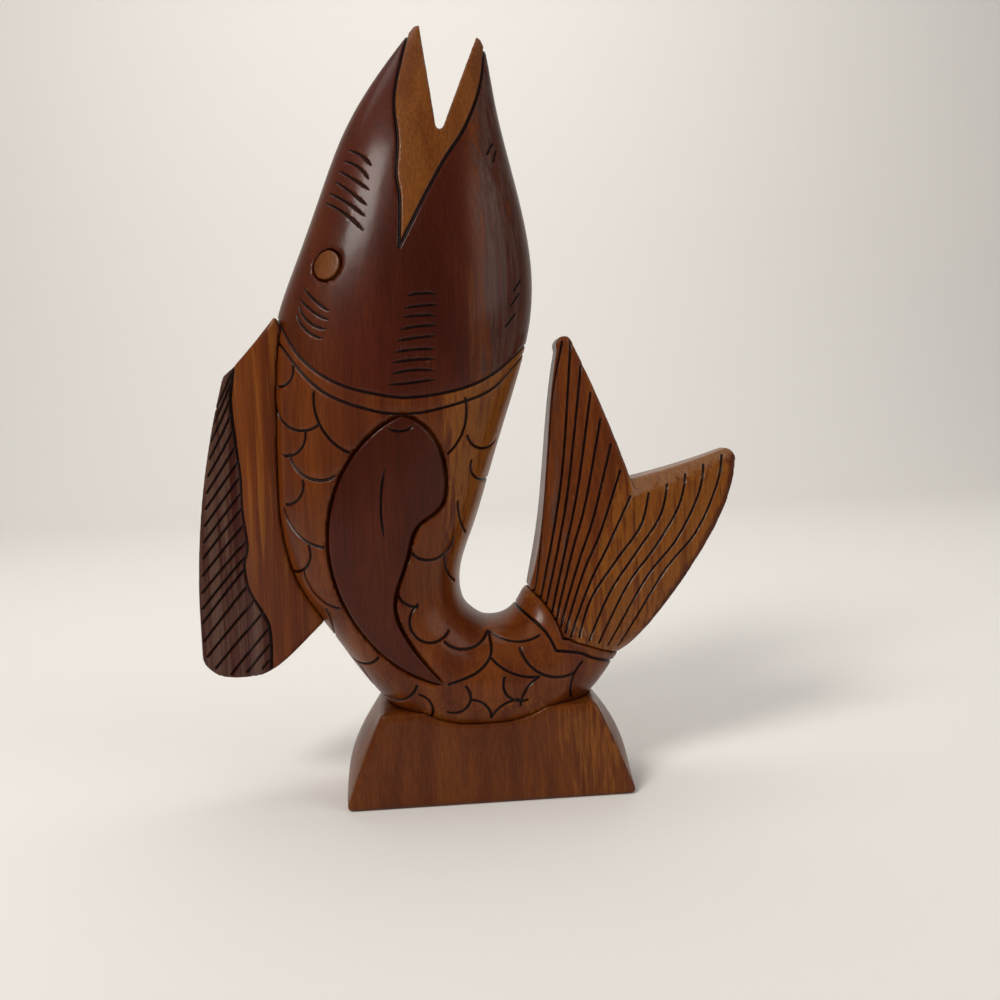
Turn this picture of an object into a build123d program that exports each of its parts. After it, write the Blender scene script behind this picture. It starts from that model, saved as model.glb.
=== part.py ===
from build123d import *
import os
from math import cos, hypot, radians, sin

# Carved wooden fish standing on its belly in a cradle on a small base, with its
# head raised, its mouth open and its tail curled up in front of it.
# Millimetres, +Z up. The origin is the middle of the base's underside.
# The fish's median plane is XZ: its back faces -X, its belly and its tail +X,
# and its right flank faces -Y.

# Base: a block with flat front and back that lean in, and bowed ends
BASE_HEIGHT = 40.0
BASE_BOW_HEIGHT = 22.0
BASE_FOOT_LENGTH = 125.0
BASE_TOP_LENGTH = 92.0
BASE_FOOT_DEPTH = 62.0
BASE_TOP_DEPTH = 54.0
BASE_END_BOW = 5.5
BASE_EDGE_BOW = 0.6
BASE_EDGE_ROUND = 1.5

# Trunk: the belly sinks into the base, and all heights of the fish are above the belly
CRADLE_DEPTH = 16.0
TRUNK_THICKNESS = 72.0
GLUE_LINE = 0.2

# Stations of the trunk from the tail's root to the jaws: the middle of each section,
# its depth from back to belly, the angle of that line from the +X direction in degrees,
# and the section's thickness as a ratio of the trunk's
STATION_MIDDLES = [
    (41.0, 48.5), (34.0, 39.5), (19.8, 28.5), (1.5, 25.5), (-15.5, 29.0), (-28.5, 40.5),
    (-38.5, 55.5), (-44.8, 70.5), (-45.5, 93.0), (-41.1, 122.0), (-35.8, 151.0), (-29.6, 182.0),
    (-24.2, 206.0), (-20.4, 238.5), (-17.8, 267.0), (-13.0, 286.0), (-6.0, 304.0),
]
STATION_DEPTHS = [
    52.0, 51.6, 51.3, 51.0, 54.4, 55.2, 60.0, 70.7, 85.0, 96.2, 105.5, 109.8, 101.6, 83.3, 64.5, 49.0, 28.6
]
STATION_ANGLES = [144, 134, 114, 87, 58, 32, 11, 4, -1, 0, 0, -1, -2, -1, 2, 2, -12]
STATION_THICKNESS_RATIOS = [
    0.58, 0.70, 0.83, 0.90, 0.92, 0.93, 0.95, 0.97, 0.99, 1.00, 1.00, 0.99, 0.94, 0.80, 0.58, 0.36, 0.15
]

# Mouth: a notch right through the head that leaves two pointed jaws
MOUTH_CORNER = (-12.5, 252.5)
MOUTH_CORNER_RADIUS = 1.5
JAW_TIP_WIDTH = 2.0

# Eyes: discs let into the head, each with an open ring round it
EYE_DIAMETER = 12.0
EYE_RING = 1.0
EYE_DEPTH = 5.0
EYE_PLACE = (-59.9, 203.8)

# Side fins: leaves let into the flanks that stand a little proud of them, with an open groove round them
SIDE_FIN_INSET = 4.0
SIDE_FIN_GAP = 1.2
SIDE_FIN_RELIEF = 0.6
SIDE_FIN_TOP = (-32.2, 142.7)
SIDE_FIN_TIP = (-17.9, 28.5)
SIDE_FIN_BACK_EDGE = [(-52.4, 127.2), (-64.6, 95.6), (-57.2, 59.5), (-36.9, 36.2)]
SIDE_FIN_FRONT_EDGE = [
    (-29.5, 44.1), (-37.3, 63.7), (-30.8, 84.9), (-26.7, 95.9), (-17.4, 102.7), (-14.2, 116.7), (-20.3, 135.4)
]

# Back fin: a board that straddles the back and thins in a cove to a blade
BACK_FIN_ROOT_THICKNESS = 34.0
BACK_FIN_BLADE_THICKNESS = 17.0
BACK_FIN_EDGE_THICKNESS = 11.0
BACK_FIN_EDGE_ROUND = 2.0
BACK_FIN_COVE_START = -85.0
BACK_FIN_COVE_END = -103.0
BACK_FIN_COVE_SAG = 2.2
BACK_FIN_TOP = (-83.0, 185.0)
BACK_FIN_CREST = (-96.0, 170.5)
BACK_FIN_SHOULDER = (-107.5, 161.0)
BACK_FIN_EDGE = (-119.0, 113.0)
BACK_FIN_HEEL = (-123.8, 48.0)
BACK_FIN_HEEL_ROUND = (-121.0, 34.5)
BACK_FIN_FOOT = (-112.0, 30.5)
BACK_FIN_FOOT_EDGE = [(-95.0, 33.5), (-83.0, 42.0)]
BACK_FIN_ARMPIT = (-68.0, 56.0)
BACK_FIN_CORE = (-50.0, 110.0)

# Tail fin: a forked fan on the tail end of the trunk, whose root fits a notch in the trunk
TAIL_NOTCH_UPPER = [(15.5, 67.0), (27.5, 56.0)]
TAIL_NOTCH = (32.7, 44.3)
TAIL_NOTCH_LOWER = (66.5, 30.0)
TAIL_LENGTH = 118.0
TAIL_MIDDLE_WIDTH = 128.0
TAIL_MIDDLE_SHIFT = 8.0
TAIL_MIDDLE_THICKNESS = 27.0
TAIL_END_WIDTH = 200.0
TAIL_END_SHIFT = 24.0
TAIL_END_THICKNESS = 15.0
TAIL_ROOT_STEP = 0.4
TAIL_UPPER_EDGE = [(26.0, 88.0), (31.0, 131.0), (36.2, 168.5)]
TAIL_UPPER_TIP = (39.4, 174.2)
TAIL_UPPER_BACK = [(43.4, 170.2), (54.5, 144.0)]
TAIL_FORK = (66.5, 110.5)
TAIL_LOWER_CREST = (90.0, 116.0)
TAIL_LOWER_SHOULDER = (111.5, 122.6)
TAIL_LOWER_TIP = (114.6, 120.8)
TAIL_LOWER_EDGE = [(114.8, 116.5), (110.5, 100.0), (96.0, 74.8), (79.0, 52.5)]
TAIL_BEVEL_WIDTH = 8.0
TAIL_BEVEL_DEPTH = 4.0
TAIL_EDGE_ROUND = 2.0

# Carved lines, drawn on the median plane and cut to an even depth in both flanks
LINE_WIDTH = 1.6
LINE_DEPTH = 0.8
COLLAR_LINES = [
    [(-80.0, 179.0), (-72.0, 166.5), (-57.0, 155.5), (-25.0, 149.0), (8.0, 158.5), (21.0, 169.0)],
    [(-81.0, 172.0), (-69.0, 157.5), (-57.0, 149.0), (-25.0, 142.5), (6.0, 151.5), (16.0, 160.5)],
]
TAIL_BAND_LINES = [
    [(16.5, 55.0), (21.0, 51.5), (26.0, 46.5), (29.5, 39.5)],
    [(29.5, 39.5), (39.5, 37.5), (46.5, 34.0), (53.0, 31.0)],
]
SCALE_LINES = [
    [(-67.0, 151.0), (-64.5, 138.0), (-55.0, 129.0)],
    [(-83.5, 146.5), (-76.0, 137.5), (-67.0, 138.5)],
    [(-79.0, 127.5), (-70.5, 117.5), (-61.0, 118.0)],
    [(-83.0, 105.0), (-76.5, 93.5), (-67.0, 89.0)],
    [(-75.5, 78.5), (-70.0, 67.0), (-62.0, 63.0)],
    [(-46.0, 21.0), (-38.0, 21.0), (-31.0, 28.5)],
    [(-5.5, 147.0), (-6.5, 135.5), (-13.5, 126.0)],
    [(-29.0, 84.5), (-21.5, 81.5), (-12.5, 90.0)],
    [(-28.5, 63.0), (-28.5, 49.0), (-16.0, 51.0)],
    [(-18.0, 47.0), (-7.5, 43.0), (0.5, 47.5)],
    [(0.5, 43.0), (-5.0, 33.5), (-16.0, 29.5)],
    [(3.0, 47.0), (11.0, 44.0), (20.0, 45.0)],
    [(14.5, 40.0), (21.0, 31.5), (36.0, 29.0)],
]
UPPER_RAY_COUNT = 7
UPPER_RAY_FIRST = [(41.0, 166.5), (37.0, 122.5), (32.5, 94.5), (26.5, 64.0)]
UPPER_RAY_LAST = [(63.0, 96.5), (55.0, 82.0), (46.0, 66.5), (40.0, 54.5)]
LOWER_RAY_COUNT = 5
LOWER_RAY_FIRST = [(72.5, 98.0), (70.0, 90.0), (58.0, 75.5), (46.5, 60.0), (43.5, 53.0)]
LOWER_RAY_LAST = [(107.5, 112.5), (105.0, 104.5), (95.5, 86.0), (79.5, 68.5), (61.5, 43.5)]

# Dowels: round pegs glued across each joint, with a little room at their ends
DOWEL_DIAMETER = 8.0
DOWEL_END_GAP = 0.5
BASE_DOWEL_SPACING = 36.0
BASE_DOWEL_FLOOR = 7.0
BASE_DOWEL_RISE = 20.0
TAIL_DOWEL_SPACING = 22.0
TAIL_DOWEL_BODY_REACH = 22.0
TAIL_DOWEL_TAIL_REACH = 12.0
FIN_DOWEL_DIAMETER = 6.0
FIN_DOWEL_OUTER_END = -102.0
FIN_DOWEL_INNER_END = -72.0
FIN_DOWEL_HEIGHTS = [84.0, 112.0, 140.0]

# Height of the belly's lowest line above the base's underside
BELLY_HEIGHT = BASE_HEIGHT - CRADLE_DEPTH
# Half of the room that a cut right across the fish has to cover
CUT_REACH = TRUNK_THICKNESS
# Where the control points of a half oval stand, as a ratio of its height, for it to reach that height
OVAL_PULL = 4 / 3


def lifted(point):
    """A point of the fish's median plane, given above the belly, above the floor instead."""
    return (point[0], point[1] + BELLY_HEIGHT)


def all_lifted(points):
    """Several points of the fish's median plane, above the floor."""
    return [lifted(point) for point in points]


def station_plane(index):
    """The plane of a station: X from back to belly, Y across the fish, Z towards the head."""
    x, z = lifted(STATION_MIDDLES[index])
    turn = radians(STATION_ANGLES[index])
    return Plane(origin=(x, 0, z), x_dir=(cos(turn), 0, sin(turn)), z_dir=(-sin(turn), 0, cos(turn)))


def half_sizes(index):
    """Half of a station's depth, and half of its thickness."""
    return STATION_DEPTHS[index] / 2, STATION_THICKNESS_RATIOS[index] * TRUNK_THICKNESS / 2


def oval_section(plane, half_depth, half_thickness, shift=0.0):
    """A filled oval on a plane, one of the sections of a loft, drawn as two halves."""
    back, belly = shift - half_depth, shift + half_depth
    with BuildSketch(plane) as section:
        with BuildLine():
            for side in (-1, 1):
                pull = side * OVAL_PULL * half_thickness
                Bezier((back, 0), (back, pull), (belly, pull), (belly, 0))
        make_face()
    return section.sketch


def trunk_solid(grow=0.0):
    """Head, trunk and tail root in one smooth form, grown or shrunk all round."""
    with BuildPart() as trunk:
        for index in range(len(STATION_MIDDLES)):
            half_depth, half_thickness = half_sizes(index)
            add(oval_section(station_plane(index), half_depth + grow, half_thickness + grow))
        loft()
    return trunk.part


def peg(plane, radius, below, above):
    """A round peg along a plane's normal, from below the plane to above it."""
    with BuildPart() as rod:
        with BuildSketch(plane.offset(-below)):
            Circle(radius)
        extrude(amount=below + above)
    return rod.part


def nearest_edge(piece, point, side):
    """The edge of a piece that passes nearest to a point of the median plane, on one side of it."""
    x, z = lifted(point)
    edges = piece.edges().filter_by(lambda edge: edge.center().Y * side > 0)
    return edges.sort_by_distance((x, side * BACK_FIN_EDGE_THICKNESS / 2, z))[0]


def tail_fan(grow=0.0):
    """The fan of the tail before it is cut to its outline, grown or shrunk all round."""
    root_half_depth, root_half_thickness = half_sizes(0)
    sections = [
        (TAIL_LENGTH, TAIL_END_WIDTH / 2, TAIL_END_THICKNESS / 2, TAIL_END_SHIFT),
        (TAIL_LENGTH / 2, TAIL_MIDDLE_WIDTH / 2, TAIL_MIDDLE_THICKNESS / 2, TAIL_MIDDLE_SHIFT),
        (0.0, root_half_depth, root_half_thickness, 0.0),
    ]
    with BuildPart() as fan:
        for distance, half_width, half_thickness, shift in sections:
            plane = station_plane(0).offset(-distance)
            add(oval_section(plane, half_width + grow, half_thickness + grow, shift))
        loft()
    return fan.part


def tail_notch(room=0.0):
    """The end of the trunk that belongs to the tail, less some room along its joint."""
    shift = station_plane(0).z_dir * -room
    with BuildPart() as notch:
        with BuildSketch(Plane.XZ):
            with BuildLine():
                points = [TAIL_NOTCH_UPPER[0], TAIL_NOTCH_UPPER[1], TAIL_NOTCH, TAIL_NOTCH_LOWER]
                start, bow, corner, end = [(x + shift.X, z + shift.Z) for x, z in all_lifted(points)]
                outside = (start[0] + end[0] - corner[0], start[1] + end[1] - corner[1])
                ThreePointArc(start, bow, corner)
                Polyline(corner, end, outside, start)
            make_face()
        extrude(amount=CUT_REACH, both=True)
    return notch.part


def carved(lines, core):
    """Grooves along lines of the median plane in the right flank, down to a core."""
    with BuildPart() as grooves:
        with BuildSketch(Plane.XZ):
            for points in lines:
                with BuildLine():
                    curve = ThreePointArc if len(points) == 3 else Spline
                    curve(*all_lifted(points))
                trace(line_width=LINE_WIDTH)
        extrude(amount=CUT_REACH)
        add(core, mode=Mode.SUBTRACT)
    return grooves.part


def between(first, last, count):
    """Lines that change evenly from a first one to a last one."""
    lines = []
    for index in range(count):
        share = index / (count - 1)
        lines.append([(a + (c - a) * share, b + (d - b) * share) for (a, b), (c, d) in zip(first, last)])
    return lines


# Forms that several pieces share
TRUNK = trunk_solid()
TRUNK_SEAT = trunk_solid(GLUE_LINE)
TAIL_PLANE = station_plane(0)

# Places of the dowels: a plane across each joint, and how far the dowel goes either way
BASE_DOWEL_PLANES = [
    Plane(origin=(side * BASE_DOWEL_SPACING / 2, 0, BELLY_HEIGHT)) for side in (-1, 1)
]
TAIL_DOWEL_PLANES = [
    Plane(
        origin=TAIL_PLANE.from_local_coords((side * TAIL_DOWEL_SPACING / 2, 0, 0)),
        x_dir=TAIL_PLANE.x_dir,
        z_dir=TAIL_PLANE.z_dir,
    )
    for side in (-1, 1)
]
FIN_DOWEL_PLANES = [
    Plane(origin=(FIN_DOWEL_OUTER_END, 0, height + BELLY_HEIGHT), z_dir=(1, 0, 0))
    for height in FIN_DOWEL_HEIGHTS
]
FIN_DOWEL_LENGTH = FIN_DOWEL_INNER_END - FIN_DOWEL_OUTER_END


def dowels(planes, diameter, below, above, room=0.0, end_room=0.0):
    """A set of dowels, or with some room round them the holes that they are glued into."""
    return [peg(plane, diameter / 2 + room, below + end_room, above + end_room) for plane in planes]


def base_dowels_with(room=0.0, end_room=0.0):
    """The dowels that stand in the base and hold the belly."""
    depth = BELLY_HEIGHT - BASE_DOWEL_FLOOR
    return dowels(BASE_DOWEL_PLANES, DOWEL_DIAMETER, depth, BASE_DOWEL_RISE, room, end_room)


def tail_dowels_with(room=0.0, end_room=0.0):
    """The dowels across the tail's root."""
    reaches = (TAIL_DOWEL_TAIL_REACH, TAIL_DOWEL_BODY_REACH)
    return dowels(TAIL_DOWEL_PLANES, DOWEL_DIAMETER, *reaches, room, end_room)


def fin_dowels_with(room=0.0, end_room=0.0):
    """The dowels that hold the back fin."""
    return dowels(FIN_DOWEL_PLANES, FIN_DOWEL_DIAMETER, 0, FIN_DOWEL_LENGTH, room, end_room)


def drawn_in(outline, room):
    """The points of a closed outline, each moved inwards by some room, square to its neighbours."""
    moved = []
    for index, (x, z) in enumerate(outline):
        before_x, before_z = outline[index - 1]
        after_x, after_z = outline[(index + 1) % len(outline)]
        run = hypot(after_x - before_x, after_z - before_z)
        moved.append((x - room * (after_z - before_z) / run, z + room * (after_x - before_x) / run))
    return moved


def side_fin_prism(room=0.0):
    """The leaf outline of the side fin, less some room all round, through the fish's right half."""
    outline = [SIDE_FIN_TOP, *SIDE_FIN_BACK_EDGE, SIDE_FIN_TIP, *SIDE_FIN_FRONT_EDGE]
    points = all_lifted(drawn_in(outline, room))
    tip = outline.index(SIDE_FIN_TIP)
    with BuildPart() as prism:
        with BuildSketch(Plane.XZ):
            with BuildLine():
                Spline(*points[: tip + 1])
                Spline(*points[tip:], points[0])
            make_face()
        extrude(amount=CUT_REACH)
    return prism.part


def right_eye_plane():
    """The plane that touches the head in the middle of the right eye."""
    x, z = lifted(EYE_PLACE)
    hits = TRUNK.find_intersection_points(Axis((x, 0, z), (0, -1, 0)))
    middle, outwards = min(hits, key=lambda hit: hit[0].Y)
    return Plane(origin=middle, z_dir=outwards)


RIGHT_EYE_PLANE = right_eye_plane()

# Recesses of the right flank, which the left flank mirrors
EYE_SOCKET = peg(RIGHT_EYE_PLANE, EYE_DIAMETER / 2 + EYE_RING, EYE_DEPTH + GLUE_LINE, EYE_DEPTH)
SIDE_FIN_SOCKET = side_fin_prism() - trunk_solid(-SIDE_FIN_INSET - GLUE_LINE)

# Grooves of the right flank, which the left flank mirrors
LINE_CORE = trunk_solid(-LINE_DEPTH)
RAY_LINES = [
    *between(UPPER_RAY_FIRST, UPPER_RAY_LAST, UPPER_RAY_COUNT),
    *between(LOWER_RAY_FIRST, LOWER_RAY_LAST, LOWER_RAY_COUNT),
]
FLANK_GROOVES = carved([*COLLAR_LINES, *TAIL_BAND_LINES, *SCALE_LINES], LINE_CORE)
RAY_GROOVES = carved(RAY_LINES, tail_fan(-LINE_DEPTH))

# Base, cut to the belly that it carries
with BuildPart() as base:
    for height, bow in ((0, BASE_EDGE_BOW), (BASE_BOW_HEIGHT, BASE_END_BOW), (BASE_HEIGHT, BASE_EDGE_BOW)):
        rise = height / BASE_HEIGHT
        half_length = (BASE_FOOT_LENGTH + (BASE_TOP_LENGTH - BASE_FOOT_LENGTH) * rise) / 2
        half_depth = (BASE_FOOT_DEPTH + (BASE_TOP_DEPTH - BASE_FOOT_DEPTH) * rise) / 2
        with BuildSketch(Plane.XY.offset(height)):
            with BuildLine():
                Line((-half_length, -half_depth), (half_length, -half_depth))
                ThreePointArc(
                    (half_length, -half_depth), (half_length + bow, 0), (half_length, half_depth)
                )
                Line((half_length, half_depth), (-half_length, half_depth))
                ThreePointArc(
                    (-half_length, half_depth), (-half_length - bow, 0), (-half_length, -half_depth)
                )
            make_face()
    loft()
    fillet(base.edges(), BASE_EDGE_ROUND)
    add(TRUNK_SEAT, mode=Mode.SUBTRACT)
    for hole in base_dowels_with(GLUE_LINE, DOWEL_END_GAP):
        add(hole, mode=Mode.SUBTRACT)

# Head, trunk and tail root, with the mouth and the recesses for what is let into them
with BuildPart() as fish_body:
    add(TRUNK)
    jaws = station_plane(-1)
    jaw_reach = half_sizes(-1)[0] - JAW_TIP_WIDTH
    upper_jaw = jaws.from_local_coords((-jaw_reach, 0, 0))
    lower_jaw = jaws.from_local_coords((jaw_reach, 0, 0))
    corner = Vector(MOUTH_CORNER[0], 0, MOUTH_CORNER[1] + BELLY_HEIGHT)
    beyond_upper = upper_jaw + (upper_jaw - corner)
    beyond_lower = lower_jaw + (lower_jaw - corner)
    with BuildSketch(Plane.XZ) as mouth:
        with BuildLine():
            Polyline(
                (beyond_upper.X, beyond_upper.Z),
                (corner.X, corner.Z),
                (beyond_lower.X, beyond_lower.Z),
                close=True,
            )
        make_face()
        fillet(mouth.vertices().sort_by(Axis.Y)[0], MOUTH_CORNER_RADIUS)
    extrude(amount=CUT_REACH, both=True, mode=Mode.SUBTRACT)
    add(tail_notch(), mode=Mode.SUBTRACT)
    for cut in (FLANK_GROOVES, EYE_SOCKET, SIDE_FIN_SOCKET):
        add(cut, mode=Mode.SUBTRACT)
        add(cut.mirror(Plane.XZ), mode=Mode.SUBTRACT)
    for holes in (base_dowels_with, tail_dowels_with, fin_dowels_with):
        for hole in holes(GLUE_LINE, DOWEL_END_GAP):
            add(hole, mode=Mode.SUBTRACT)

# Back fin, seated round the back
with BuildPart() as back_fin:
    with BuildSketch(Plane.XZ):
        with BuildLine():
            ThreePointArc(lifted(BACK_FIN_TOP), lifted(BACK_FIN_CREST), lifted(BACK_FIN_SHOULDER))
            ThreePointArc(lifted(BACK_FIN_SHOULDER), lifted(BACK_FIN_EDGE), lifted(BACK_FIN_HEEL))
            ThreePointArc(lifted(BACK_FIN_HEEL), lifted(BACK_FIN_HEEL_ROUND), lifted(BACK_FIN_FOOT))
            Spline(*all_lifted([BACK_FIN_FOOT, *BACK_FIN_FOOT_EDGE, BACK_FIN_ARMPIT]))
            Polyline(lifted(BACK_FIN_ARMPIT), lifted(BACK_FIN_CORE), lifted(BACK_FIN_TOP))
        make_face()
    extrude(amount=BACK_FIN_ROOT_THICKNESS / 2, both=True)
    with BuildSketch(Plane.XY):
        with BuildLine():
            edge = (BACK_FIN_HEEL[0], BACK_FIN_EDGE_THICKNESS / 2)
            blade = (BACK_FIN_COVE_END, BACK_FIN_BLADE_THICKNESS / 2)
            root = (BACK_FIN_COVE_START, BACK_FIN_ROOT_THICKNESS / 2)
            core = (BACK_FIN_CORE[0], BACK_FIN_ROOT_THICKNESS / 2)
            Polyline((edge[0], 0), edge, blade)
            SagittaArc(blade, root, BACK_FIN_COVE_SAG)
            Polyline(root, core, (core[0], 0), (edge[0], 0))
        make_face()
        mirror(about=Plane.XZ)
    extrude(amount=lifted(BACK_FIN_TOP)[1], mode=Mode.INTERSECT)
    fillet([nearest_edge(back_fin, BACK_FIN_EDGE, side) for side in (-1, 1)], BACK_FIN_EDGE_ROUND)
    add(TRUNK_SEAT, mode=Mode.SUBTRACT)
    for hole in fin_dowels_with(GLUE_LINE, DOWEL_END_GAP):
        add(hole, mode=Mode.SUBTRACT)

# Tail fin: a fan that widens and thins, cut to its forked outline, and its root in the trunk's notch
with BuildPart() as tail_fin:
    root_half_depth = half_sizes(0)[0]
    add(tail_fan())
    upper_root = TAIL_PLANE.from_local_coords((root_half_depth - TAIL_ROOT_STEP, 0, 0))
    lower_root = TAIL_PLANE.from_local_coords((-root_half_depth + TAIL_ROOT_STEP, 0, 0))
    with BuildSketch(Plane.XZ):
        with BuildLine():
            upper_start = (upper_root.X, upper_root.Z)
            lower_end = (lower_root.X, lower_root.Z)
            Spline(upper_start, *all_lifted(TAIL_UPPER_EDGE))
            ThreePointArc(
                lifted(TAIL_UPPER_EDGE[-1]), lifted(TAIL_UPPER_TIP), lifted(TAIL_UPPER_BACK[0])
            )
            ThreePointArc(
                lifted(TAIL_UPPER_BACK[0]), lifted(TAIL_UPPER_BACK[1]), lifted(TAIL_FORK)
            )
            ThreePointArc(lifted(TAIL_FORK), lifted(TAIL_LOWER_CREST), lifted(TAIL_LOWER_SHOULDER))
            ThreePointArc(
                lifted(TAIL_LOWER_SHOULDER), lifted(TAIL_LOWER_TIP), lifted(TAIL_LOWER_EDGE[0])
            )
            Spline(*all_lifted(TAIL_LOWER_EDGE), lower_end)
            Line(lower_end, upper_start)
        make_face()
    extrude(amount=CUT_REACH, both=True, mode=Mode.INTERSECT)
    for side in (-1, 1):
        crest = nearest_edge(tail_fin, TAIL_LOWER_CREST, side)
        flank = tail_fin.faces().filter_by(lambda face: crest in face.edges()).sort_by(SortBy.AREA)[-1]
        chamfer(crest, TAIL_BEVEL_WIDTH, TAIL_BEVEL_DEPTH, reference=flank)
    fillet([nearest_edge(tail_fin, TAIL_UPPER_EDGE[1], side) for side in (-1, 1)], TAIL_EDGE_ROUND)
    add(TRUNK & tail_notch(GLUE_LINE))
    holes = tail_dowels_with(GLUE_LINE, DOWEL_END_GAP)
    add([RAY_GROOVES, RAY_GROOVES.mirror(Plane.XZ), *holes], mode=Mode.SUBTRACT)

# Side fins: leaves of even thickness that follow the flank
with BuildPart() as pectoral_fin_right:
    add(side_fin_prism(SIDE_FIN_GAP))
    add(trunk_solid(SIDE_FIN_RELIEF), mode=Mode.INTERSECT)
    add(trunk_solid(-SIDE_FIN_INSET), mode=Mode.SUBTRACT)

with BuildPart() as pectoral_fin_left:
    add(pectoral_fin_right.part.mirror(Plane.XZ))

# Eyes: plugs whose faces follow the head
with BuildPart() as eye_right:
    add(peg(RIGHT_EYE_PLANE, EYE_DIAMETER / 2, EYE_DEPTH, EYE_DEPTH))
    add(TRUNK, mode=Mode.INTERSECT)

with BuildPart() as eye_left:
    add(eye_right.part.mirror(Plane.XZ))

# Dowels, one set for each joint
with BuildPart() as base_dowels:
    add(base_dowels_with())

with BuildPart() as tail_dowels:
    add(tail_dowels_with())

with BuildPart() as back_fin_dowels:
    add(fin_dowels_with())

pieces = {
    "base": base,
    "fish_body": fish_body,
    "back_fin": back_fin,
    "tail_fin": tail_fin,
    "pectoral_fin_right": pectoral_fin_right,
    "pectoral_fin_left": pectoral_fin_left,
    "eye_right": eye_right,
    "eye_left": eye_left,
    "base_dowels": base_dowels,
    "back_fin_dowels": back_fin_dowels,
    "tail_dowels": tail_dowels,
}

os.makedirs("parts", exist_ok=True)
for label, piece in pieces.items():
    piece.part.label = label
    export_step(piece.part, f"parts/{label}.step")
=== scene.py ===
import random
from collections import namedtuple
from math import cos, radians, sin

import bmesh
import bpy
from mathutils import Matrix, Vector, kdtree
from mathutils.bvhtree import BVHTree
from mathutils.geometry import interpolate_bezier


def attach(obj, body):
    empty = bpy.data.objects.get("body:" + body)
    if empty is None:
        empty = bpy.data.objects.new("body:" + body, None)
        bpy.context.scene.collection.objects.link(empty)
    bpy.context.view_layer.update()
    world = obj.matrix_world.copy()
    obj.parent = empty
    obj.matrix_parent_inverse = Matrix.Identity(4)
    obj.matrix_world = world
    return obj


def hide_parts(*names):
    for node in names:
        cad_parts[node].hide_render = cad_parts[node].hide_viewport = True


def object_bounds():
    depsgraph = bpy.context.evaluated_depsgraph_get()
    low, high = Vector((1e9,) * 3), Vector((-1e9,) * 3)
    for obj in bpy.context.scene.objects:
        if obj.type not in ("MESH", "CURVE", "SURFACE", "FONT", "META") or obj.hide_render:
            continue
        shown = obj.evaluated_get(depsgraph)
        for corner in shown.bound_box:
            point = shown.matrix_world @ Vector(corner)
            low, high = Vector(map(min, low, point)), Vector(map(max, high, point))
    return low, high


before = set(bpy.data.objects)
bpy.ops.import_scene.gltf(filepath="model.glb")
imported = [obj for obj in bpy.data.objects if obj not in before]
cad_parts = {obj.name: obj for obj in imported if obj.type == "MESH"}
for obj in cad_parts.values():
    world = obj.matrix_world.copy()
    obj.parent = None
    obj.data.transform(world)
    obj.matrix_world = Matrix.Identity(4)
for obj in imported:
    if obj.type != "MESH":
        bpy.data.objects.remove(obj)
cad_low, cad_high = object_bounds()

# Carved and varnished wooden fish. Its pieces are cut finer than the CAD solids, the
# carved lines are real V-shaped cuts, and the stain, grain and varnish are procedural.
# Carved lines are drawn in millimetres on the fish's median plane, as x and the height
# above the belly's lowest line, and are carried straight across onto both flanks.

MM = 0.001
RANDOM_SEED = 11
BELLY_HEIGHT = 24.0

# Viewpoint of the photograph
VIEWPOINT = Vector((-23.3, -421.8, 163.9)) * MM
VIEW_YAW = radians(4.45)
VIEW_PITCH = radians(5.0)
VIEW_ROLL = radians(-2.0)
VIEW_LENS = 34.2

# Cuts: full width and depth in millimetres, and whether the ends run out to nothing
Cut = namedtuple("Cut", "width depth tapered")
SCALE_CUT = Cut(1.7, 0.8, False)
COLLAR_CUT = Cut(1.7, 0.8, False)
LIP_CUT = Cut(2.0, 1.0, False)
CREASE_CUT = Cut(1.5, 0.7, True)
SLASH_CUT = Cut(1.5, 0.8, True)
RAY_CUT = Cut(1.5, 0.9, False)
STRIP_CUT = Cut(2.2, 1.2, False)
BAND_CUT = Cut(1.8, 0.9, False)

# How far the points of a slash and of a ray stray from an even fan
SLASH_UNEVENNESS = 0.5
RAY_UNEVENNESS = 0.3

# Head: lips, collar behind the gills, and slashes on snout, cheek, gill cover and throat
UPPER_LIP = [(-22.5, 306), (-29.5, 274.5), (-29, 253), (-30, 239), (-29, 228), (-30, 209)]
LOWER_LIP = [(10, 301), (6.5, 278.5), (-1, 259), (-10, 245), (-17.5, 232), (-23.5, 221), (-30, 209)]
COLLAR_TOP = [(-88, 192), (-82, 182.5), (-72, 166.5), (-57, 155.5), (-38.5, 150), (-25, 149), (-6.5, 152),
              (8, 158.5), (22.5, 170.5), (30, 179)]
COLLAR_FOOT = [(-90, 184), (-83, 175), (-69, 157.5), (-57, 149), (-38.5, 143), (-25, 142.5), (-6.5, 146.5),
               (6, 151.5), (16, 160.5), (26, 172)]
SNOUT_SLASHES = 6
SNOUT_SLASH_FIRST = [(-49, 251), (-44, 247.5), (-40, 243)]
SNOUT_SLASH_LAST = [(-59.5, 230), (-51, 223.5), (-44, 216.5)]
CHEEK_SLASHES = 4
CHEEK_SLASH_FIRST = [(-70, 194.5), (-65, 189), (-59, 185)]
CHEEK_SLASH_LAST = [(-73.5, 184.5), (-68.5, 177.5), (-62.5, 174)]
GILL_SLASHES = 9
GILL_SLASH_FIRST = [(-27, 189.5), (-21, 190), (-15.5, 190)]
GILL_SLASH_LAST = [(-36.5, 154), (-27.5, 155), (-18, 155.5)]
THROAT_SLASHES = [
    [(10.5, 253.5), (7.5, 247.5)], [(12, 251), (10, 244.5)], [(20.5, 197.5), (16.5, 191.5)],
    [(19.5, 191.5), (15, 185.5)], [(17.5, 183), (12.5, 177)],
]

# Side fin: its crease and the arc under its top
LEAF_CREASE = [(-39.5, 120.5), (-41.5, 109), (-41, 93)]
LEAF_ARC = [(-37.5, 137), (-33, 135.5), (-27, 137.5)]

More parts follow.
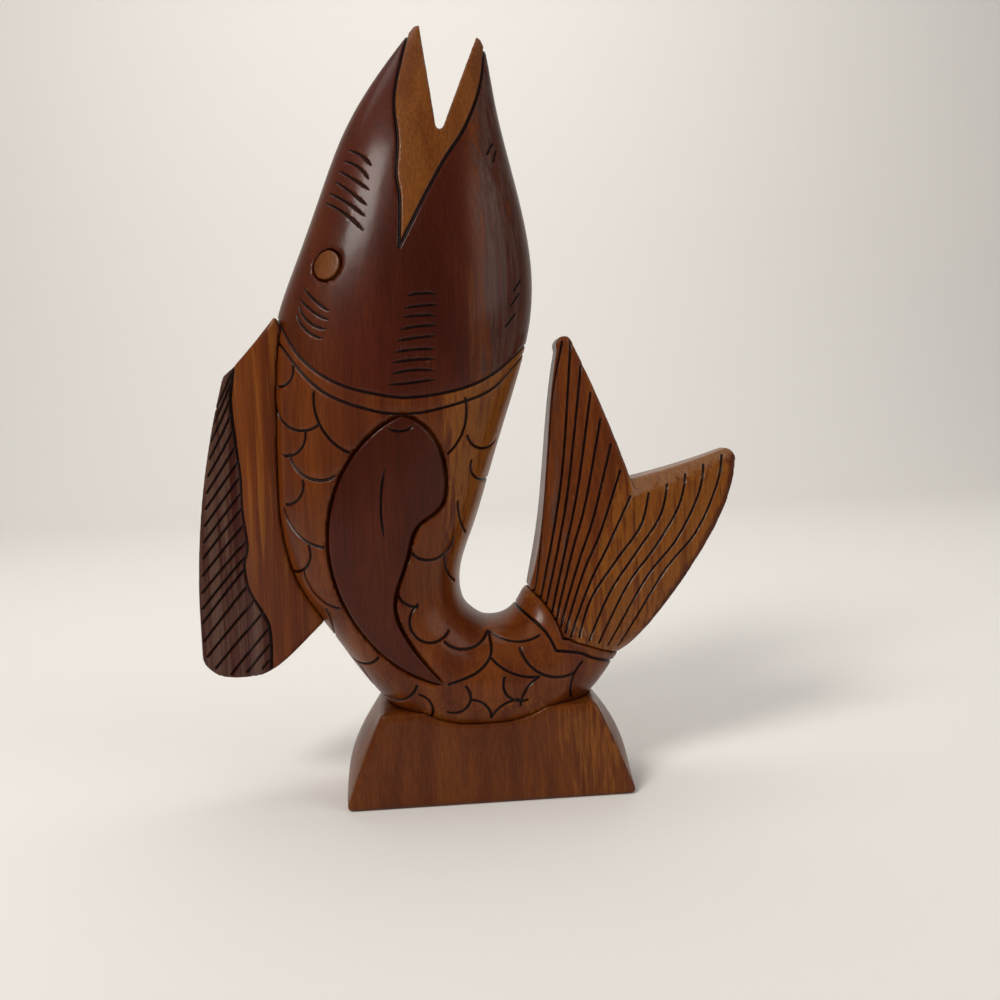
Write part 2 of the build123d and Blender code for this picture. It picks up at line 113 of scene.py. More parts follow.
# Scales: arcs down the back, down the belly and round the bend to the tail
BACK_SCALES = [
    [(-75.5, 163.5), (-78, 157), (-83, 155.5)],
    [(-67, 152.5), (-64.5, 138), (-53.5, 127.5)],
    [(-84.5, 148), (-76, 137.5), (-66, 139)],
    [(-71.5, 136.5), (-75, 128.5), (-82, 127)],
    [(-79, 127.5), (-70.5, 117.5), (-60, 118)],
    [(-73.5, 116.5), (-76, 109), (-82, 106.5)],
    [(-83, 105), (-76.5, 93.5), (-66, 89)],
    [(-72.5, 89.5), (-73.5, 81.5), (-80.5, 77.5)],
    [(-75.5, 78.5), (-70, 67), (-61, 63)],
    [(-67, 62), (-65.5, 56.5), (-66, 45)],
    [(-59, 39), (-52.5, 37.5), (-46, 41.5)],
    [(-55.5, 37.5), (-51.5, 30.5), (-48.5, 21)],
    [(-46, 21), (-38, 21), (-30.5, 29)],
    [(-29.5, 25), (-25, 21), (-25, 14)],
]
BELLY_SCALES = [
    [(-5.5, 148), (-6.5, 135.5), (-13.5, 125.5)],
    [(-5, 132.5), (0.5, 127), (7.5, 130)],
    [(-3.5, 122), (-1, 114), (5.5, 114)],
    [(-10, 105), (-9, 96.5), (-7, 91)],
    [(-30, 85), (-21.5, 81.5), (-12.5, 90)],
    [(-16.5, 82), (-15.5, 75), (-12.5, 70)],
    [(-36.5, 67.5), (-32, 63.5), (-28.5, 62.5)],
    [(-28.5, 63.5), (-28.5, 49), (-16, 51)],
]
BEND_SCALES = [
    [(-18, 47), (-7.5, 43), (1, 48)],
    [(1.2, 48), (1.3, 40), (-5, 33.5), (-17, 29.3)],
    [(1.5, 48), (11, 44), (22.5, 46)],
    [(1, 39), (10, 32), (21.5, 29.5)],
    [(13.8, 41.5), (21, 31.5), (37, 29)],
    [(6.5, 30.5), (8.5, 21.5), (16, 20)],
    [(21.5, 29.5), (15.5, 24.5), (13, 17.5)],
    [(41, 33.5), (36, 26), (36, 17.5)],
    [(-10, 28), (-9.5, 19), (-18, 16.5)],
    [(-7.5, 22), (-1.5, 18.5), (0.5, 12.5)],
    [(0.5, 12.5), (3, 16.5), (12, 20.5)],
]
TAIL_BAND_UPPER = [(12, 57), (15.5, 55.5), (21, 51.5), (26, 46.5), (29.5, 39.5)]
TAIL_BAND_LOWER = [(29.5, 39.5), (39.5, 37.5), (46.5, 34), (55.5, 30), (60, 26)]

# Tail: its joint with the trunk, the rays of its two lobes and the line along its upper edge
TAIL_JOINT_UPPER = [(15.5, 67), (27.5, 56), (32.7, 44.3)]
TAIL_JOINT_LOWER = [(32.7, 44.3), (66.5, 30)]
TAIL_EDGE_LINE = [(38.5, 171.5), (33.5, 150), (30.5, 123), (28, 101), (23.5, 68.5), (22, 62.5)]
UPPER_RAYS = 7
UPPER_RAY_FIRST = [(42.5, 172), (37, 122.5), (32.5, 94.5), (24.5, 58)]
UPPER_RAY_LAST = [(66, 103), (55, 82), (46, 66.5), (36, 44)]
LOWER_RAYS = 5
LOWER_RAY_FIRST = [(74, 104), (70, 90), (58, 75.5), (46.5, 60), (40, 44)]
LOWER_RAY_LAST = [(109, 119.5), (105, 104.5), (95.5, 86), (79.5, 68.5), (58.5, 37)]
TAIL_BEVEL_LINE = [(66.5, 103), (90, 110), (112, 119)]
TAIL_DARK_EDGE = [(113, 119), (108.8, 100.5), (94.5, 75.8), (77.5, 53.6), (62.5, 34.5)]

# Back fin: the scalloped line along its dark strip, the strip's outer edge, and its rays, which run
# from a share of the line's length to a share of the edge's and bow up a little
STRIP_LINE = [
    (-102, 165), (-104.5, 151), (-103.5, 133), (-102, 118.5), (-102, 104), (-100.5, 88.5), (-102.5, 80.5),
    (-101, 70), (-95, 60), (-92.5, 54.5), (-92, 46), (-92.5, 35),
]
STRIP_EDGE = [(-107.5, 161), (-112, 145.5), (-116.5, 116.5), (-120.5, 82), (-122.5, 53), (-120, 37.5),
              (-110.5, 32), (-94.5, 36)]
STRIP_RAYS = 20
RAYS_ALONG_LINE = (0.0, 0.96)
RAYS_ALONG_EDGE = (0.1, 0.98)
STRIP_RAY_BOW = Vector((1.2, 0, 1.6))

# Colours of stain and bare wood, linear
MAROON_STAIN = (0.038, 0.0042, 0.001)
RED_STAIN = (0.068, 0.009, 0.0018)
RED_BROWN = (0.088, 0.0165, 0.0024)
WARM_BROWN = (0.14, 0.033, 0.004)
GOLDEN = (0.19, 0.058, 0.0065)
STREAK_BROWN = (0.125, 0.033, 0.0042)
GREY_BROWN = (0.085, 0.039, 0.026)
LIP_BROWN = (0.125, 0.033, 0.004)
PALE_LIP_BROWN = (0.165, 0.05, 0.007)
EYE_BROWN = (0.1, 0.027, 0.004)
PALE_EYE_BROWN = (0.14, 0.041, 0.007)
# Paler on the tail's bevel: dust, and painted light where the facet faces up
DUSTY_LIT_BROWN = (0.24, 0.125, 0.07)
# Near black in the cuts: stain gathered there, together with painted shade of the cuts
GROOVE_STAIN_AND_SHADE = (0.007, 0.0011, 0.0007)
WORN_EDGE = (0.2, 0.07, 0.02)
BASE_BROWN = (0.085, 0.0175, 0.0022)
BASE_PALE_BROWN = (0.125, 0.031, 0.0035)
BARE_WOOD = (0.56, 0.39, 0.23)

# Varnish: how much of it lies on the wood and in the cuts, how dull it is, and the shine of the wood under it
VARNISH = 0.22
VARNISH_IN_CUTS = 0.1
VARNISH_DULLNESS = 0.18
WOOD_SHINE = 0.08

# Studio, in metres and watts
Lamp = namedtuple("Lamp", "name place size power colour")
KEY_LAMP = Lamp("key light", (-0.9, -0.9, 1.2), 0.5, 16.0, (1.0, 0.96, 0.9))
FILL_LAMP = Lamp("fill light", (1.3, -0.8, 0.7), 1.0, 5.5, (1.0, 0.97, 0.94))
BACKDROP_LAMP = Lamp("backdrop light", (0.0, 0.5, 1.6), 1.5, 13.0, (1.0, 0.97, 0.94))
BACKDROP_TARGET = Vector((0.0, 1.8, 0.5))
FLOOR_COLOUR = (0.9, 0.88, 0.85)
FLOOR_ROUGHNESS = 0.8
FLOOR_SIZE = 6.0
BACKDROP_DISTANCE = 1.2
BACKDROP_BEND = 0.6
BACKDROP_HEIGHT = 3.0
BEND_STEPS = 12
SURROUND_COLOUR = (1.0, 0.97, 0.93)
SURROUND_LIGHT = 0.24

# Visible meshes: the size of their cells in millimetres, the rounds of smoothing that soften their
# edges, and the most triangles that a piece keeps
Fineness = namedtuple("Fineness", "cell rounds")
BODY_MESH = Fineness(1.0, 5)
BACK_FIN_MESH = Fineness(0.9, 6)
TAIL_MESH = Fineness(0.8, 7)
SIDE_FIN_MESH = Fineness(0.7, 4)
EYE_MESH = Fineness(0.35, 1)
BASE_MESH = Fineness(1.2, 4)
MOST_TRIANGLES = 195_000
MOST_BODY_TRIANGLES = 480_000

# Carving: the spacing of places along a cut, how far round it cells are split at each of two
# rounds, how far round it a rough groove is smoothed out first, and in how many rounds
SAMPLE_STEP = 0.3 * MM
REFINED_REACHES = (1.6 * MM, 0.7 * MM)
LEVEL_REACH = 1.5 * MM
LEVEL_ROUNDS = 20

# From outside the right flank across to the median plane
OUTSIDE = Vector((0, 0.2, 0))

# Middle of the whole object
MIDDLE = (Vector(cad_low) + Vector(cad_high)) / 2
chance = random.Random(RANDOM_SEED)


def on_plane(point):
    """A drawn point as a place of the median plane, in metres."""
    return Vector((point[0], 0, point[1] + BELLY_HEIGHT)) * MM


def arc_path(points):
    """The arc of a circle through three points, as closely spaced places in metres."""
    start, middle, end = [on_plane(point) for point in points]
    first, second = middle - start, end - start
    across = first.cross(second)
    to_centre = second.length_squared * across.cross(first) + first.length_squared * second.cross(across)
    to_centre /= 2 * across.length_squared
    centre = start + to_centre
    spoke = start - centre
    sweep = spoke.angle(middle - centre) + (middle - centre).angle(end - centre)
    count = max(2, round(sweep * to_centre.length / SAMPLE_STEP))
    turns = [Matrix.Rotation(sweep * step / count, 3, across) for step in range(count + 1)]
    return [centre + turn @ spoke for turn in turns]


def smooth_path(points):
    """A smooth curve through points of the median plane, as closely spaced places in metres."""
    if len(points) == 3:
        return arc_path(points)
    knots = [on_plane(point) for point in points]
    ends = [knots[0], *knots, knots[-1]]
    path = [knots[0]]
    for before, start, end, after in zip(ends, ends[1:], ends[2:], ends[3:]):
        count = max(2, round((end - start).length / SAMPLE_STEP))
        lead, trail = (end - before) / 6, (after - start) / 6
        path += interpolate_bezier(start, start + lead, end - trail, end, count + 1)[1:]
    return path


def between(first, last, share):
    """Points part of the way from those of a first line to those of a last one."""
    return [tuple(Vector(a).lerp(Vector(b), share)) for a, b in zip(first, last)]


def part_way(path, reach, share):
    """The place at a share of the way along a reach of a path, given as two shares of its length."""
    low, high = reach
    return path[round((low + (high - low) * share) * (len(path) - 1))]


def fan(first, last, count, unevenness):
    """A set of lines that change evenly from the first to the last, each a little off as if by hand."""
    lines = []
    for index in range(count):
        line = between(first, last, index / (count - 1))
        lines.append([(x + chance.uniform(-1, 1) * unevenness, z + chance.uniform(-1, 1) * unevenness)
                      for x, z in line])
    return lines


def on_wood(tree, path):
    """A path carried straight across onto the right flank, whose ends stop where they leave the outline."""
    hits = [tree.ray_cast(point - OUTSIDE, OUTSIDE)[0] for point in path]
    struck = [index for index, hit in enumerate(hits) if hit]
    first, last = (max(0, struck[0] - 1), struck[-1] + 1) if struck else (0, len(path))
    spots = [hit or tree.find_nearest(point)[0] for point, hit in zip(path, hits)][first:last + 1]
    filled = [spots[0]]
    for spot in spots[1:]:
        start = filled[-1]
        steps = max(1, round((spot - start).length / SAMPLE_STEP))
        filled += [tree.find_nearest(start.lerp(spot, (step + 1) / steps))[0] for step in range(steps)]
    return filled


class Cuts:
    """Places along cuts on both flanks of some wood, each with its half width and depth in metres."""

    def __init__(self, wood, strokes):
        tree = BVHTree.FromBMesh(wood)
        self.samples = []
        for points, cut in strokes:
            self.follow(on_wood(tree, smooth_path(points)), cut)
        self.finder = kdtree.KDTree(len(self.samples))
        for index, (place, _, _) in enumerate(self.samples):
            self.finder.insert(place, index)
        self.finder.balance()

    def follow(self, places, cut):
        """Keeps the places along one cut, on both flanks."""
        for index, place in enumerate(places):
            to_end = min(index, len(places) - 1 - index) / len(places)
            share = min(1.0, 0.2 + 5 * to_end) if cut.tapered else 1.0
            half_width = cut.width / 2 * MM * (0.4 + 0.6 * share)
            for side in (1, -1):
                spot = Vector((place.x, side * place.y, place.z))
                self.samples.append((spot, half_width, cut.depth * MM * share))

    def nearest(self, vertex):
        """How far a vertex is from the nearest cut, and that cut's half width and depth."""
        _, index, distance = self.finder.find(vertex.co)
        return distance, *self.samples[index][1:]

    def near(self, wood, reach):
        """The vertices of the wood within some reach of the edges of the cuts."""
        found = []
        for vertex in wood.verts:
            distance, half_width, _ = self.nearest(vertex)
            if distance < half_width + reach:
                found.append(vertex)
        return found


def level(wood, strokes):
    """Smooths out the plain grooves that the CAD solid has along some strokes."""
    near = Cuts(wood, strokes).near(wood, LEVEL_REACH)
    for _ in range(LEVEL_ROUNDS):
        bmesh.ops.smooth_vert(wood, verts=near, factor=0.5, use_axis_x=True, use_axis_y=True, use_axis_z=True)


def carve(piece, strokes, rough_strokes=()):
    """Cuts V-shaped grooves along the strokes and keeps how deep in a groove each vertex is.

    The rough strokes are those that the CAD solid already has as plain grooves.
    """
    wood = bmesh.new()
    wood.from_mesh(piece.data)
    if rough_strokes:
        level(wood, rough_strokes)
    cuts = Cuts(wood, [*rough_strokes, *strokes])
    for reach in REFINED_REACHES:
        near = set(cuts.near(wood, reach))
        edges = [edge for edge in wood.edges if edge.verts[0] in near or edge.verts[1] in near]
        bmesh.ops.subdivide_edges(wood, edges=edges, cuts=1, use_grid_fill=True)
    bmesh.ops.triangulate(wood, faces=[face for face in wood.faces if len(face.verts) > 4])

    wood.normal_update()
    groove = wood.verts.layers.float.new("groove")
    moves = []
    for vertex in wood.verts:
        distance, half_width, depth = cuts.nearest(vertex)
        closeness = max(0.0, 1 - distance / half_width)
        vertex[groove] = closeness
        moves.append(vertex.normal * depth * closeness)
    for vertex, move in zip(wood.verts, moves):
        vertex.co -= move
    wood.to_mesh(piece.data)
    wood.free()


def paint(piece, name, shade):
    """Keeps a share from 0 to 1 at each vertex, worked out from its x and its height above the belly."""
    layer = piece.data.attributes.new(name, "FLOAT", "POINT")
    places = [(vertex.co.x / MM, vertex.co.z / MM - BELLY_HEIGHT) for vertex in piece.data.vertices]
    layer.data.foreach_set("value", [float(shade(x, z)) for x, z in places])


def ramp(value, low, high):
    """0 up to low, 1 from high on, and smooth between them."""
    share = min(1.0, max(0.0, (value - low) / (high - low)))
    return share * share * (3 - 2 * share)


def inside(outline, x, z):
    """Whether a point is inside a closed outline."""
    within = False
    for (x1, z1), (x2, z2) in zip(outline, outline[1:] + outline[:1]):
        if (z1 > z) != (z2 > z) and x < x1 + (x2 - x1) * (z - z1) / (z2 - z1):
            within = not within
    return within


def height_along(points, x):
    """Height of a line that runs from left to right, at x."""
    for (x1, z1), (x2, z2) in zip(points, points[1:]):
        if x <= x2:
            break
    return z1 + (z2 - z1) * (x - x1) / (x2 - x1)


def settle(piece):
    """Makes what a piece's modifiers give its own mesh."""
    state = bpy.context.evaluated_depsgraph_get()
    shaped = piece.evaluated_get(state)
    piece.data = bpy.data.meshes.new_from_object(shaped, preserve_all_data_layers=True, depsgraph=state)
    piece.modifiers.clear()


def fine_copy(node, fineness):
    """A copy of a CAD node as an even mesh with softened edges, which stands for the node."""
    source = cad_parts[node]
    mesh = source.data.copy()
    mesh.transform(source.matrix_world)
    mesh.materials.clear()
    piece = bpy.data.objects.new(f"carved_{node}", mesh)
    bpy.context.scene.collection.objects.link(piece)
    even = piece.modifiers.new("even mesh", "REMESH")
    even.mode = "VOXEL"
    even.voxel_size = fineness.cell * MM
    soften = piece.modifiers.new("soft edges", "SMOOTH")
    soften.factor = 0.5
    soften.iterations = fineness.rounds
    settle(piece)
    return piece


def thin_out(piece, most):
    """Merges triangles where the wood is smooth, down to the most that the piece may have."""
    piece.data.calc_loop_triangles()
    count = len(piece.data.loop_triangles)
    if count > most:
        thin = piece.modifiers.new("fewer triangles", "DECIMATE")
        thin.ratio = most / count
        settle(piece)


def place_piece(piece, node, material, most_triangles=MOST_TRIANGLES):
    """Gives a piece its finish, keeps it in the CAD's box, hides the node that it stands for and hangs the
    piece under the root.
    """
    for vertex in piece.data.vertices:
        vertex.co = [min(max(along, low), high) for along, low, high in zip(vertex.co, cad_low, cad_high)]
    thin_out(piece, most_triangles)
    piece.data.materials.clear()
    piece.data.materials.append(material)
    piece.data.shade_smooth()
    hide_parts(node)
    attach(piece, "root")


class Finish:
    """A material's node tree, with short ways to add and wire its nodes."""

    def __init__(self, name):
        self.material = bpy.data.materials.new(name)
        self.material.use_nodes = True
        self.tree = self.material.node_tree
        self.surface = self.tree.nodes["Principled BSDF"]

    def add(self, kind, settings=None, **inputs):
        """A new node with some settings and with values or wires on its inputs."""
        node = self.tree.nodes.new(kind)
        for name, value in (settings or {}).items():
            setattr(node, name, value)
        for name, value in inputs.items():
            self.wire(value, node.inputs[name.replace("_", " ")])
        return node

    def wire(self, value, socket):
        """Wires another node's output to a socket, or sets a plain value on it."""
        if isinstance(value, bpy.types.NodeSocket):
            self.tree.links.new(value, socket)
        else:
            socket.default_value = value

    def noise(self, place, stretch, scale, detail=2.0):
        """Noise drawn out along the upright grain, from 0 to 1."""
        drawn = self.add("ShaderNodeVectorMath", {"operation": "MULTIPLY"})
        self.wire(place, drawn.inputs[0])
        self.wire((1, 1, stretch), drawn.inputs[1])
        noise = self.add("ShaderNodeTexNoise", Vector=drawn.outputs[0], Scale=scale, Detail=detail)
        return noise.outputs["Fac"]

    def spread(self, value, low, high, to_low=0.0, to_high=1.0):
        """A value's range from low to high, spread smoothly over another range."""
        node = self.add("ShaderNodeMapRange", {"interpolation_type": "SMOOTHSTEP"})
        for name, number in (("Value", value), ("From Min", low), ("From Max", high),
                             ("To Min", to_low), ("To Max", to_high)):
            self.wire(number, node.inputs[name])
        return node.outputs["Result"]

    def total(self, first, second):
        """Two values added up."""
        node = self.add("ShaderNodeMath", {"operation": "ADD"})
        self.wire(first, node.inputs[0])
        self.wire(second, node.inputs[1])
        return node.outputs[0]

    def mix(self, share, first, second, blend="MIX"):
        """A blend of two colours."""
        node = self.add("ShaderNodeMix", {"data_type": "RGBA", "blend_type": blend})
        self.wire(share, node.inputs["Factor"])
        for colour, socket in ((first, node.inputs["A"]), (second, node.inputs["B"])):
            self.wire(colour if isinstance(colour, bpy.types.NodeSocket) else (*colour, 1.0), socket)
        return node.outputs["Result"]

    def share(self, name):
        """What was painted on the vertices under a name."""
        return self.add("ShaderNodeAttribute", {"attribute_name": name}).outputs["Fac"]


def varnished_wood(name, dark, light, seed):
    """Stained wood with upright grain under gloss varnish, between a darker and a lighter tone.

    What was painted on the vertices turns it golden, grey, maroon, lip brown, or dusty and
    lit by painted light, and the cuts near black with stain and painted shade.
    """
    finish = Finish(name)
    place = finish.add("ShaderNodeVectorMath", {"operation": "ADD"})
    finish.wire(finish.add("ShaderNodeTexCoord").outputs["Object"], place.inputs[0])
    finish.wire((seed, seed, seed), place.inputs[1])
    place = place.outputs[0]
    figure = finish.noise(place, stretch=0.05, scale=110.0, detail=3.0)
    fibre = finish.noise(place, stretch=0.02, scale=1500.0)
    streak = finish.noise(place, stretch=0.03, scale=420.0, detail=4.0)
    blotch = finish.noise(place, stretch=0.4, scale=34.0)
    pores = finish.noise(place, stretch=0.04, scale=2600.0, detail=1.0)
    raggedness = finish.spread(streak, 0.3, 0.7, -0.3, 0.3)

    def patchy(zone):
        """The share of a painted zone, with an edge that runs out in streaks."""
        return finish.spread(finish.total(finish.share(zone), raggedness), 0.3, 0.7)

    wood = finish.mix(finish.spread(figure, 0.35, 0.65), dark, light)
    golden = finish.mix(finish.spread(streak, 0.3, 0.55), STREAK_BROWN, GOLDEN)
    wood = finish.mix(patchy("gold"), wood, golden)
    grey = finish.mix(finish.spread(streak, 0.35, 0.62), MAROON_STAIN, GREY_BROWN)
    wood = finish.mix(patchy("grey"), wood, grey)
    maroon = finish.mix(finish.spread(blotch, 0.35, 0.7), MAROON_STAIN, RED_STAIN)
    wood = finish.mix(finish.share("stain"), wood, maroon)
    lip = finish.mix(finish.spread(figure, 0.35, 0.65), LIP_BROWN, PALE_LIP_BROWN)
    wood = finish.mix(finish.share("lip"), wood, lip)
    # Dusty and paler on the tail's bevel, partly painted light where the facet faces up
    wood = finish.mix(finish.share("dust_and_light"), wood, DUSTY_LIT_BROWN)
    wood = finish.mix(1.0, wood, finish.spread(fibre, 0.3, 0.7, 0.8, 1.14), "MULTIPLY")
    wood = finish.mix(1.0, wood, finish.spread(pores, 0.26, 0.33, 0.6, 1.0), "MULTIPLY")
    worn = finish.add("ShaderNodeNewGeometry").outputs["Pointiness"]
    wood = finish.mix(finish.spread(worn, 0.53, 0.62, 0.0, 0.35), wood, WORN_EDGE)
    groove = finish.share("groove")
    # The cuts are painted near black, for stain gathered in them and for their shade
    wood = finish.mix(finish.spread(groove, 0.1, 0.5), wood, GROOVE_STAIN_AND_SHADE)

    unevenness = finish.total(fibre, blotch)
    relief = finish.add("ShaderNodeBump", Strength=0.12, Distance=0.3 * MM, Height=unevenness)
    surface = finish.surface
    finish.wire(wood, surface.inputs["Base Color"])
    finish.wire(relief.outputs[0], surface.inputs["Normal"])
    finish.wire(finish.spread(blotch, 0.3, 0.7, 0.3, 0.42), surface.inputs["Roughness"])
    finish.wire(WOOD_SHINE, surface.inputs["Specular IOR Level"])
    finish.wire(finish.spread(groove, 0.1, 0.5, VARNISH, VARNISH_IN_CUTS), surface.inputs["Coat Weight"])
    finish.wire(VARNISH_DULLNESS, surface.inputs["Coat Roughness"])
    return finish.material


def bare_wood(name):
    """Pale unvarnished wood with a fine grain, for the dowels."""
    finish = Finish(name)
    place = finish.add("ShaderNodeTexCoord").outputs["Object"]
    grain = finish.noise(place, stretch=0.1, scale=900.0, detail=3.0)
    tint = finish.spread(grain, 0.3, 0.7, 0.7, 1.1)
    finish.wire(finish.mix(1.0, BARE_WOOD, tint, "MULTIPLY"), finish.surface.inputs["Base Color"])
    finish.wire(finish.spread(grain, 0.3, 0.7, 0.6, 0.8), finish.surface.inputs["Roughness"])
    return finish.material


def mirrored(piece, node):
    """A copy of a piece of the right flank for the left one."""
    mesh = piece.data.copy()
    mesh.transform(Matrix.Scale(-1, 4, (0, 1, 0)))
    mesh.flip_normals()
    copy = bpy.data.objects.new(f"carved_{node}", mesh)
    bpy.context.scene.collection.objects.link(copy)
    return copy


def dress_body():
    """Head, trunk and tail root, with lips, collar, slashes and scales."""
    piece = fine_copy("fish_body", BODY_MESH)
    rough = [(COLLAR_TOP, COLLAR_CUT), (COLLAR_FOOT, COLLAR_CUT)]
    rough += [(TAIL_BAND_UPPER, BAND_CUT), (TAIL_BAND_LOWER, BAND_CUT)]
    rough += [(scale, SCALE_CUT) for scale in BACK_SCALES + BELLY_SCALES + BEND_SCALES]
    strokes = [(UPPER_LIP, LIP_CUT), (LOWER_LIP, LIP_CUT)]
    strokes += [(TAIL_JOINT_UPPER, BAND_CUT), (TAIL_JOINT_LOWER, BAND_CUT)]
    slashes = fan(SNOUT_SLASH_FIRST, SNOUT_SLASH_LAST, SNOUT_SLASHES, SLASH_UNEVENNESS)
    slashes += fan(CHEEK_SLASH_FIRST, CHEEK_SLASH_LAST, CHEEK_SLASHES, SLASH_UNEVENNESS)
    slashes += fan(GILL_SLASH_FIRST, GILL_SLASH_LAST, GILL_SLASHES, SLASH_UNEVENNESS)
    strokes += [(slash, SLASH_CUT) for slash in slashes + THROAT_SLASHES]
    carve(piece, strokes, rough)

    lips = UPPER_LIP + LOWER_LIP[::-1]

    def on_head(x, z):
        """Whether a point is in front of the collar."""
        return z > height_along(COLLAR_TOP, x)

    def stain(x, z):
        """Maroon on the head, thinner towards the back and the throat, and a thin wash on the flank."""
        if inside(lips, x, z):
            return 0.0
        if on_head(x, z):
            return 0.95 - 0.3 * ramp(-x, 42, 70) - 0.65 * ramp(x, -6, 4)
        return 0.3 * ramp(x, -75, -60) * ramp(-x, 10, 30) * ramp(z, 36, 96)

    def gold(x, z):
        """Golden streaks on the lower cheek, down the belly and under the bend."""
        if on_head(x, z):
            return 0.5 * ramp(x, -10, -2) * ramp(-x, -6, 0) * ramp(-z, -215, -180)
        return 0.85 * ramp(x, -22, -4) * ramp(z, 46, 76) + 0.3 * ramp(-z, -46, -6)

    def grey(x, z):
        """Grey streaks on the throat."""
        return 0.75 * ramp(x, -4, 8) * on_head(x, z)

    paint(piece, "stain", stain)
    paint(piece, "gold", gold)
    paint(piece, "grey", grey)
    paint(piece, "lip", lambda x, z: inside(lips, x, z))
    material = varnished_wood("body wood", RED_BROWN, WARM_BROWN, 0.0)
    place_piece(piece, "fish_body", material, MOST_BODY_TRIANGLES)


def dress_back_fin():
    """The board along the back, with its dark rayed strip."""
    piece = fine_copy("back_fin", BACK_FIN_MESH)
    inner, outer = smooth_path(STRIP_LINE), smooth_path(STRIP_EDGE)
    strokes = [(STRIP_LINE, STRIP_CUT)]
    for index in range(STRIP_RAYS):
        share = index / (STRIP_RAYS - 1)
        start = part_way(inner, RAYS_ALONG_LINE, share) / MM
        end = part_way(outer, RAYS_ALONG_EDGE, share) / MM
        middle = start.lerp(end, 0.5) + STRIP_RAY_BOW
        strokes.append(([(spot.x, spot.z - BELLY_HEIGHT) for spot in (start, middle, end)], RAY_CUT))
    carve(piece, strokes)
    # The strip's line, closed by corners well outside the fin
    strip = STRIP_LINE + [(-91, 10), (-140, 10), (-140, 170)]
    paint(piece, "grey", lambda x, z: inside(strip, x, z))
    paint(piece, "gold", lambda x, z: 0.0 if inside(strip, x, z) else 0.12 + 0.2 * ramp(z, 56, 86))
    material = varnished_wood("back fin wood", RED_BROWN, WARM_BROWN, 0.31)
    place_piece(piece, "back_fin", material)


def dress_tail():
    """The forked fan, with a ray cut along each spine."""
    piece = fine_copy("tail_fin", TAIL_MESH)
    rays = fan(UPPER_RAY_FIRST, UPPER_RAY_LAST, UPPER_RAYS, RAY_UNEVENNESS)
    rays += fan(LOWER_RAY_FIRST, LOWER_RAY_LAST, LOWER_RAYS, RAY_UNEVENNESS)
    strokes = [(TAIL_JOINT_UPPER, BAND_CUT), (TAIL_JOINT_LOWER, BAND_CUT), (TAIL_EDGE_LINE, RAY_CUT)]
    carve(piece, strokes, [(ray, RAY_CUT) for ray in rays])
    paint(piece, "gold", lambda x, z: 0.7 * ramp(x - 0.35 * (z - 36), 24, 44))
    paint(piece, "grey", lambda x, z: 0.35 * ramp(-x, -48, -30) * ramp(z, 46, 86))
    # The dark edge's line, closed by corners well outside the tail
    within_edge = TAIL_DARK_EDGE + [(0, 34.5), (0, 180), (113, 180)]
    paint(piece, "stain", lambda x, z: 0.0 if inside(within_edge, x, z) else 0.85)
    # The tail's bevel facet is painted paler, as dust and as painted light on its upward face
    paint(piece, "dust_and_light", lambda x, z: 0.6 * (x > 66 and z > height_along(TAIL_BEVEL_LINE, x)))
    material = varnished_wood("tail wood", RED_BROWN, WARM_BROWN, 0.57)
    place_piece(piece, "tail_fin", material)


def dress_side_fins():
    """The dark leaves let into the flanks."""
    right = fine_copy("pectoral_fin_right", SIDE_FIN_MESH)
    carve(right, [(LEAF_CREASE, CREASE_CUT), (LEAF_ARC, CREASE_CUT)])
    paint(right, "stain", lambda x, z: 0.9)
    left = mirrored(right, "pectoral_fin_left")
    material = varnished_wood("side fin wood", RED_BROWN, WARM_BROWN, 0.83)
    place_piece(right, "pectoral_fin_right", material)
    place_piece(left, "pectoral_fin_left", material)


def dress_eyes():
    """The discs of the eyes, paler than the head."""
    right = fine_copy("eye_right", EYE_MESH)
    left = mirrored(right, "eye_left")
    material = varnished_wood("eye wood", EYE_BROWN, PALE_EYE_BROWN, 1.09)
    place_piece(right, "eye_right", material)
    place_piece(left, "eye_left", material)


def dress_base():
    """The block under the belly, more golden towards the tail."""
    piece = fine_copy("base", BASE_MESH)
    paint(piece, "gold", lambda x, z: 0.32 * ramp(x, 0, 50))
    material = varnished_wood("base wood", BASE_BROWN, BASE_PALE_BROWN, 1.37)
    place_piece(piece, "base", material)


def dress_dowels():
    """The dowels inside the joints stay as they are, in bare wood."""
    material = bare_wood("dowel wood")
    for node in ("base_dowels", "back_fin_dowels", "tail_dowels"):
        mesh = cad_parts[node].data
        mesh.materials.clear()
        mesh.materials.append(material)


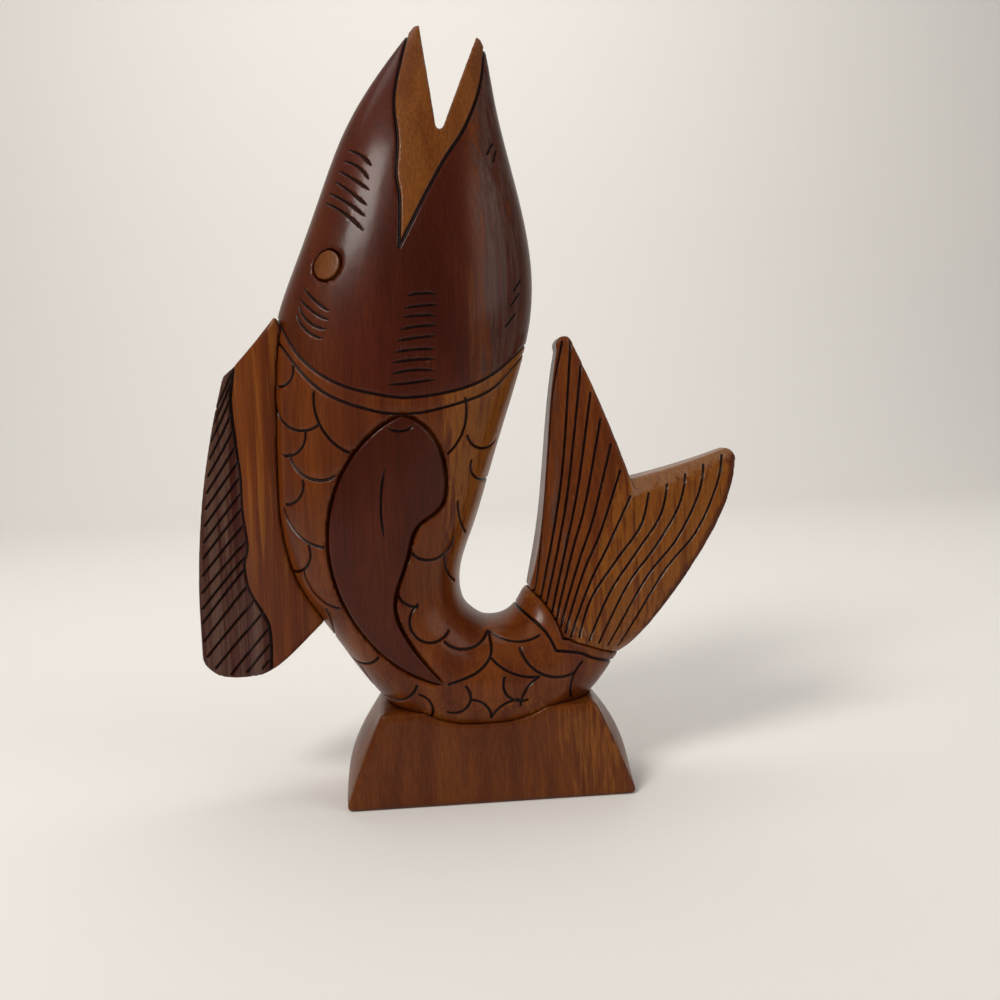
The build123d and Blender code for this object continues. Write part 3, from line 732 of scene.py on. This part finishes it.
def add_floor():
    """A pale floor that curves up into a backdrop."""
    profile = [(-FLOOR_SIZE / 2, 0.0), (BACKDROP_DISTANCE, 0.0)]
    for step in range(1, BEND_STEPS + 1):
        angle = radians(90 * step / BEND_STEPS)
        profile.append((BACKDROP_DISTANCE + BACKDROP_BEND * sin(angle), BACKDROP_BEND * (1 - cos(angle))))
    profile.append((BACKDROP_DISTANCE + BACKDROP_BEND, BACKDROP_HEIGHT))
    mesh = bpy.data.meshes.new("floor")
    points = [(side * FLOOR_SIZE / 2, y, z) for y, z in profile for side in (-1, 1)]
    faces = [(2 * i, 2 * i + 1, 2 * i + 3, 2 * i + 2) for i in range(len(profile) - 1)]
    mesh.from_pydata(points, [], faces)
    mesh.shade_smooth()
    finish = Finish("pale floor")
    finish.wire((*FLOOR_COLOUR, 1.0), finish.surface.inputs["Base Color"])
    finish.wire(FLOOR_ROUGHNESS, finish.surface.inputs["Roughness"])
    mesh.materials.append(finish.material)
    floor = bpy.data.objects.new("floor", mesh)
    bpy.context.scene.collection.objects.link(floor)


def add_light(lamp, target):
    """A soft square light that faces a target."""
    data = bpy.data.lights.new(lamp.name, "AREA")
    data.size = lamp.size
    data.energy = lamp.power
    data.color = lamp.colour
    light = bpy.data.objects.new(lamp.name, data)
    light.location = lamp.place
    light.rotation_euler = (target - Vector(lamp.place)).to_track_quat("-Z", "Y").to_euler()
    bpy.context.scene.collection.objects.link(light)


def add_studio():
    """Light from the upper left, a weaker one from the right, one for the backdrop and an even surround."""
    add_floor()
    add_light(KEY_LAMP, MIDDLE)
    add_light(FILL_LAMP, MIDDLE)
    add_light(BACKDROP_LAMP, BACKDROP_TARGET)
    world = bpy.data.worlds.new("surround")
    bpy.context.scene.world = world
    world.use_nodes = True
    surround = world.node_tree.nodes["Background"]
    surround.inputs["Color"].default_value = (*SURROUND_COLOUR, 1.0)
    surround.inputs["Strength"].default_value = SURROUND_LIGHT


def add_camera():
    """A camera at the viewpoint of the photograph."""
    ahead = Vector((sin(VIEW_YAW) * cos(VIEW_PITCH), cos(VIEW_YAW) * cos(VIEW_PITCH), -sin(VIEW_PITCH)))
    level_right = Vector((cos(VIEW_YAW), -sin(VIEW_YAW), 0))
    level_up = level_right.cross(ahead)
    right = level_right * cos(VIEW_ROLL) + level_up * sin(VIEW_ROLL)
    up = level_up * cos(VIEW_ROLL) - level_right * sin(VIEW_ROLL)
    data = bpy.data.cameras.new("camera")
    data.lens = VIEW_LENS
    data.clip_start = 0.01
    camera = bpy.data.objects.new("camera", data)
    camera.matrix_world = Matrix.Translation(VIEWPOINT) @ Matrix((right, up, -ahead)).transposed().to_4x4()
    bpy.context.scene.collection.objects.link(camera)
    bpy.context.scene.camera = camera


dress_body()
dress_back_fin()
dress_tail()
dress_side_fins()
dress_eyes()
dress_base()
dress_dowels()
add_studio()
add_camera()
bpy.context.scene.view_settings.view_transform = "Standard"
